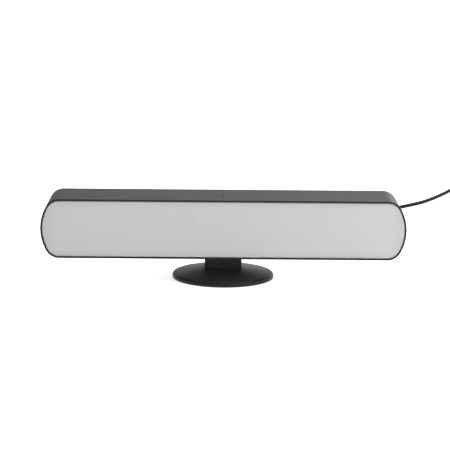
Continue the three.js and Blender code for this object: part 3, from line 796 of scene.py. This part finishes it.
def make_plug_shell():
    """The open steel sleeve with its two windows, which go through the top and the bottom."""
    low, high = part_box("usb_plug_shell")
    centre = (low + high) / 2
    half_x, half_z, wall = (high.x - low.x) / 2, (high.z - low.z) / 2, 0.35 * MM
    outer = rounded_rectangle(half_x, half_z, 0.6 * MM, 5)
    inner = rounded_rectangle(half_x - wall, half_z - wall, 0.3 * MM, 5)
    rings = []
    for outline, y in ((inner, high.y - 0.6 * MM), (inner, low.y), (outer, low.y), (outer, high.y)):
        rings.append([Vector((centre.x + x, y, centre.z + z)) for x, z in outline])
    shell = skin("plug_shell", rings, smooth_angle=40)
    for side in (-1, 1):
        x = centre.x + side * 2.6 * MM
        window_low = (x - 1.1 * MM, centre.y - 1.3 * MM, low.z - 1 * MM)
        window_high = (x + 1.1 * MM, centre.y + 0.9 * MM, high.z + 1 * MM)
        boolean(shell, box_object("window", window_low, window_high), smooth_angle=40)
    bevel(shell, 0.05 * MM, 1).limit_method = "ANGLE"
    return finish_piece(shell, "base", "plug_metal", "usb_plug_shell")


def make_plug_tongue():
    low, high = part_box("usb_plug_tongue")
    tongue = box_object("plug_contacts", low, high)
    bevel(tongue, 0.15 * MM, 2)
    return finish_piece(tongue, "base", "white_inner", "usb_plug_tongue")


# ---- Surroundings ----
def make_floor():
    """A wide white table top. It glows a little, so that the shade on it stays faint, as in the photo."""
    half = 30
    floor = box_object("floor", (-half, -half, -0.02), (half, half, 0))
    made = bpy.data.materials.new("floor")
    made.use_nodes = True
    nodes, links = made.node_tree.nodes, made.node_tree.links
    shader = nodes["Principled BSDF"]
    shader.inputs["Roughness"].default_value = 0.9
    shader.inputs["Specular IOR Level"].default_value = 0.2
    where = nodes.new("ShaderNodeTexCoord")
    cloud = noise(nodes, links, where, 6, detail=3)
    tone = nodes.new("ShaderNodeMix")
    tone.data_type = "RGBA"
    tone.inputs["A"].default_value = (0.9, 0.9, 0.9, 1)
    tone.inputs["B"].default_value = (0.92, 0.92, 0.92, 1)
    links.new(cloud.outputs["Fac"], tone.inputs["Factor"])
    links.new(tone.outputs["Result"], shader.inputs["Base Color"])
    shader.inputs["Emission Color"].default_value = (1, 1, 1, 1)
    shader.inputs["Emission Strength"].default_value = 0.76
    floor.data.materials.append(made)


def make_backdrop():
    """A pale wall far round the scene, so that a low view has something behind it. It lights nothing."""
    radius, outside, foot, top = 25, 25.1, -0.01, 14
    wall = turned("backdrop", [(radius, foot), (radius, top), (outside, top), (outside, foot)])
    made = bpy.data.materials.new("backdrop")
    made.use_nodes = True
    shader = made.node_tree.nodes["Principled BSDF"]
    shader.inputs["Base Color"].default_value = (0, 0, 0, 1)
    shader.inputs["Specular IOR Level"].default_value = 0
    shader.inputs["Emission Color"].default_value = (1, 1, 1, 1)
    shader.inputs["Emission Strength"].default_value = 1
    wall.data.materials.append(made)
    wall.visible_diffuse = wall.visible_glossy = wall.visible_transmission = False
    wall.visible_volume_scatter = wall.visible_shadow = False


def area_light(name, place, towards, size, power):
    """A rectangular panel that lights the scene and isn't seen itself."""
    data = bpy.data.lights.new(name, "AREA")
    data.shape = "RECTANGLE"
    data.size, data.size_y = size
    data.energy = power
    light = bpy.data.objects.new(name, data)
    light.location = place
    light.rotation_mode = "QUATERNION"
    light.rotation_quaternion = (Vector(towards) - Vector(place)).to_track_quat("-Z", "Y")
    light.visible_camera = False
    bpy.context.scene.collection.objects.link(light)


# How bright the room is by direction. Each row: the axis, where along it the level starts and stops changing,
# the levels at those two places, and how the row joins those above it.
WORLD_LEVELS = [
    ("Y", -0.1, 0.7, 0.14, 1.07, None),
    ("Z", 0.75, 1.0, 0.0, 2.0, "ADD"),
    ("X", -0.45, 0.45, 0.55, 1.35, "MULTIPLY"),
]


def make_light():
    """Two panels, and a room that is brightest above, brighter behind than in front and brighter on the right
    than on the left."""
    world = bpy.data.worlds.new("world")
    world.use_nodes = True
    nodes, links = world.node_tree.nodes, world.node_tree.links
    way = nodes.new("ShaderNodeTexCoord")
    split = nodes.new("ShaderNodeSeparateXYZ")
    links.new(way.outputs["Generated"], split.inputs[0])
    for axis, start, end, at_start, at_end, join in WORLD_LEVELS:
        level = nodes.new("ShaderNodeMapRange")
        level.interpolation_type = "SMOOTHSTEP"
        level.inputs["From Min"].default_value = start
        level.inputs["From Max"].default_value = end
        level.inputs["To Min"].default_value = at_start
        level.inputs["To Max"].default_value = at_end
        links.new(split.outputs[axis], level.inputs["Value"])
        if join is None:
            total = level.outputs["Result"]
            continue
        joined = nodes.new("ShaderNodeMath")
        joined.operation = join
        links.new(total, joined.inputs[0])
        links.new(level.outputs["Result"], joined.inputs[1])
        total = joined.outputs[0]
    links.new(total, nodes["Background"].inputs["Strength"])
    nodes["Background"].inputs["Color"].default_value = (1, 1, 1, 1)
    bpy.context.scene.world = world
    area_light("front_panel", place=(0.85, -0.65, 0.45), towards=(0, 0, 0.04), size=(0.7, 0.7), power=6.4)
    area_light("back_panel", place=(1.0, 1.3, 0.75), towards=(0, 0, 0.05), size=(1.2, 0.8), power=7)
    bpy.context.scene.view_settings.view_transform = "Standard"


make_camera()
dress_frame()
make_boot()
tie = make_tie()
plug = make_plug()
make_lead()
make_housing()
make_diffuser()
make_base_cover()
make_neck()
make_foot()
make_floor()
make_backdrop()
make_light()
